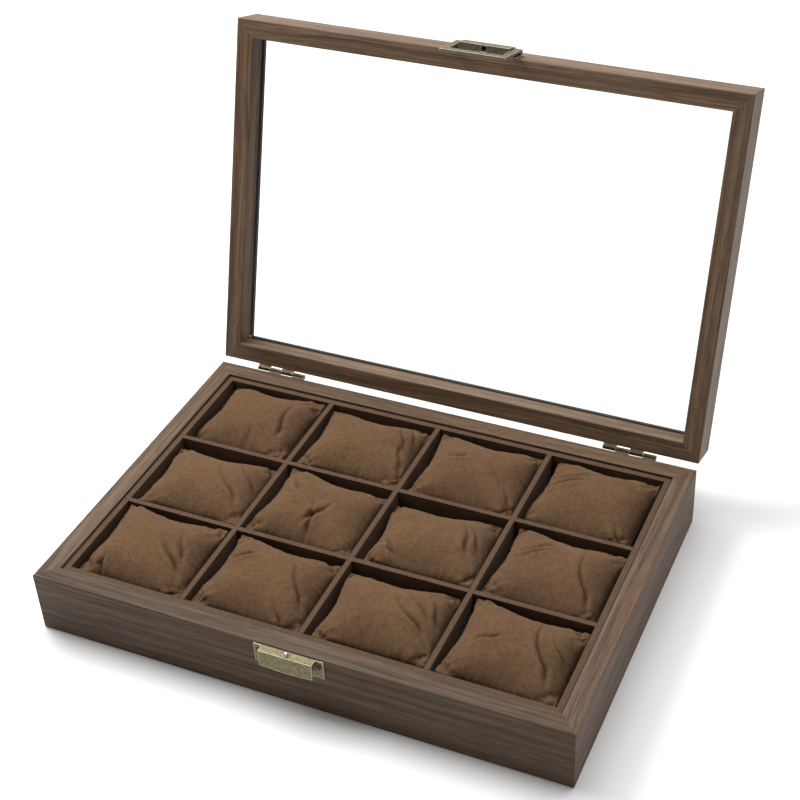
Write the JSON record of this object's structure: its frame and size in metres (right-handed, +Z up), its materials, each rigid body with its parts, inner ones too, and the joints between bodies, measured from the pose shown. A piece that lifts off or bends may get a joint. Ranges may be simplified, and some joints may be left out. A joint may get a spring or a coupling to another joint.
{
  "type": "watch box",
  "caption": "Open wooden watch box with a hinged glass lid, divided cells with suede pillows, two brass butt hinges and a hook-and-ring latch.",
  "frame": {"origin": "centre of the underside of the tray, on the surface it stands on", "axes": "+Z up; +X to the right seen from the front; -Y is the front with the latch, +Y the back with the hinges; stored with the lid open"},
  "size_m": [0.315, 0.3113, 0.2558],
  "materials": {
    "walnut_tray": "walnut veneer, satin",
    "walnut_lid": "walnut veneer, satin",
    "lining_cloth": "brushed cloth over board",
    "bottom_board": "flocked board",
    "pillow_suede": "brown suede cloth",
    "clear_glass": "clear float glass",
    "black_trim": "matt black glazing strip",
    "pale_pin": "pale pin head",
    "antique_brass": "antique brass, worn on the edges",
    "bright_stud": "bright nickel",
    "dark_nail": "dark round-headed nail"
  },
  "bodies": {
    "box": {"front_wall": "walnut_tray", "back_wall": "walnut_tray", "left_wall": "walnut_tray", "right_wall": "walnut_tray", "bottom_panel": "bottom_board", "floor_lining": "lining_cloth", "front_liner": "lining_cloth", "back_liner": "lining_cloth", "left_liner": "lining_cloth", "right_liner": "lining_cloth", "long_divider_1": "lining_cloth", "long_divider_2": "lining_cloth", "short_divider_1": "lining_cloth", "short_divider_2": "lining_cloth", "short_divider_3": "lining_cloth", "left_hinge_box_leaf": "antique_brass", "right_hinge_box_leaf": "antique_brass", "left_hinge_pin": "antique_brass", "right_hinge_pin": "antique_brass", "box_hinge_screws": "antique_brass", "keeper_plate": "antique_brass", "keeper_stud": "bright_stud", "keeper_nails": "dark_nail"},
    "lid": {"lid_front_rail": "walnut_lid", "lid_back_rail": "walnut_lid", "lid_left_rail": "walnut_lid", "lid_right_rail": "walnut_lid", "lid_glass": "clear_glass", "glass_bead": "black_trim", "glass_gasket": "black_trim", "glazing_pin": "pale_pin", "left_hinge_lid_leaf": "antique_brass", "right_hinge_lid_leaf": "antique_brass", "lid_hinge_screws": "antique_brass", "hasp_plate": "antique_brass", "hasp_nails": "dark_nail"},
    "ring": {"latch_ring": "antique_brass"},
    "pillow_r1_c1": {"pillow_r1_c1": "pillow_suede"},
    "pillow_r1_c2": {"pillow_r1_c2": "pillow_suede"},
    "pillow_r1_c3": {"pillow_r1_c3": "pillow_suede"},
    "pillow_r1_c4": {"pillow_r1_c4": "pillow_suede"},
    "pillow_r2_c1": {"pillow_r2_c1": "pillow_suede"},
    "pillow_r2_c2": {"pillow_r2_c2": "pillow_suede"},
    "pillow_r2_c3": {"pillow_r2_c3": "pillow_suede"},
    "pillow_r2_c4": {"pillow_r2_c4": "pillow_suede"},
    "pillow_r3_c1": {"pillow_r3_c1": "pillow_suede"},
    "pillow_r3_c2": {"pillow_r3_c2": "pillow_suede"},
    "pillow_r3_c3": {"pillow_r3_c3": "pillow_suede"},
    "pillow_r3_c4": {"pillow_r3_c4": "pillow_suede"}
  },
  "joints": [
    {"name": "lid_hinge", "type": "hinge", "parent": "box", "child": "lid", "pos_m": [0, 0.1103, 0.0395], "axis": [-1, 0, 0], "range_deg": [-107, 0]},
    {"name": "ring_pivot", "type": "hinge", "parent": "lid", "child": "ring", "pos_m": [0, 0.18365, 0.24796], "axis": [-1, 0, 0], "range_deg": [0, 145]},
    {"name": "pillow_r1_c1_lift", "type": "slide", "parent": "box", "child": "pillow_r1_c1", "axis": [0, 0, 1], "range_m": [0, 0.08]},
    {"name": "pillow_r1_c2_lift", "type": "slide", "parent": "box", "child": "pillow_r1_c2", "axis": [0, 0, 1], "range_m": [0, 0.08]},
    {"name": "pillow_r1_c3_lift", "type": "slide", "parent": "box", "child": "pillow_r1_c3", "axis": [0, 0, 1], "range_m": [0, 0.08]},
    {"name": "pillow_r1_c4_lift", "type": "slide", "parent": "box", "child": "pillow_r1_c4", "axis": [0, 0, 1], "range_m": [0, 0.08]},
    {"name": "pillow_r2_c1_lift", "type": "slide", "parent": "box", "child": "pillow_r2_c1", "axis": [0, 0, 1], "range_m": [0, 0.08]},
    {"name": "pillow_r2_c2_lift", "type": "slide", "parent": "box", "child": "pillow_r2_c2", "axis": [0, 0, 1], "range_m": [0, 0.08]},
    {"name": "pillow_r2_c3_lift", "type": "slide", "parent": "box", "child": "pillow_r2_c3", "axis": [0, 0, 1], "range_m": [0, 0.08]},
    {"name": "pillow_r2_c4_lift", "type": "slide", "parent": "box", "child": "pillow_r2_c4", "axis": [0, 0, 1], "range_m": [0, 0.08]},
    {"name": "pillow_r3_c1_lift", "type": "slide", "parent": "box", "child": "pillow_r3_c1", "axis": [0, 0, 1], "range_m": [0, 0.08]},
    {"name": "pillow_r3_c2_lift", "type": "slide", "parent": "box", "child": "pillow_r3_c2", "axis": [0, 0, 1], "range_m": [0, 0.08]},
    {"name": "pillow_r3_c3_lift", "type": "slide", "parent": "box", "child": "pillow_r3_c3", "axis": [0, 0, 1], "range_m": [0, 0.08]},
    {"name": "pillow_r3_c4_lift", "type": "slide", "parent": "box", "child": "pillow_r3_c4", "axis": [0, 0, 1], "range_m": [0, 0.08]}
  ]
}
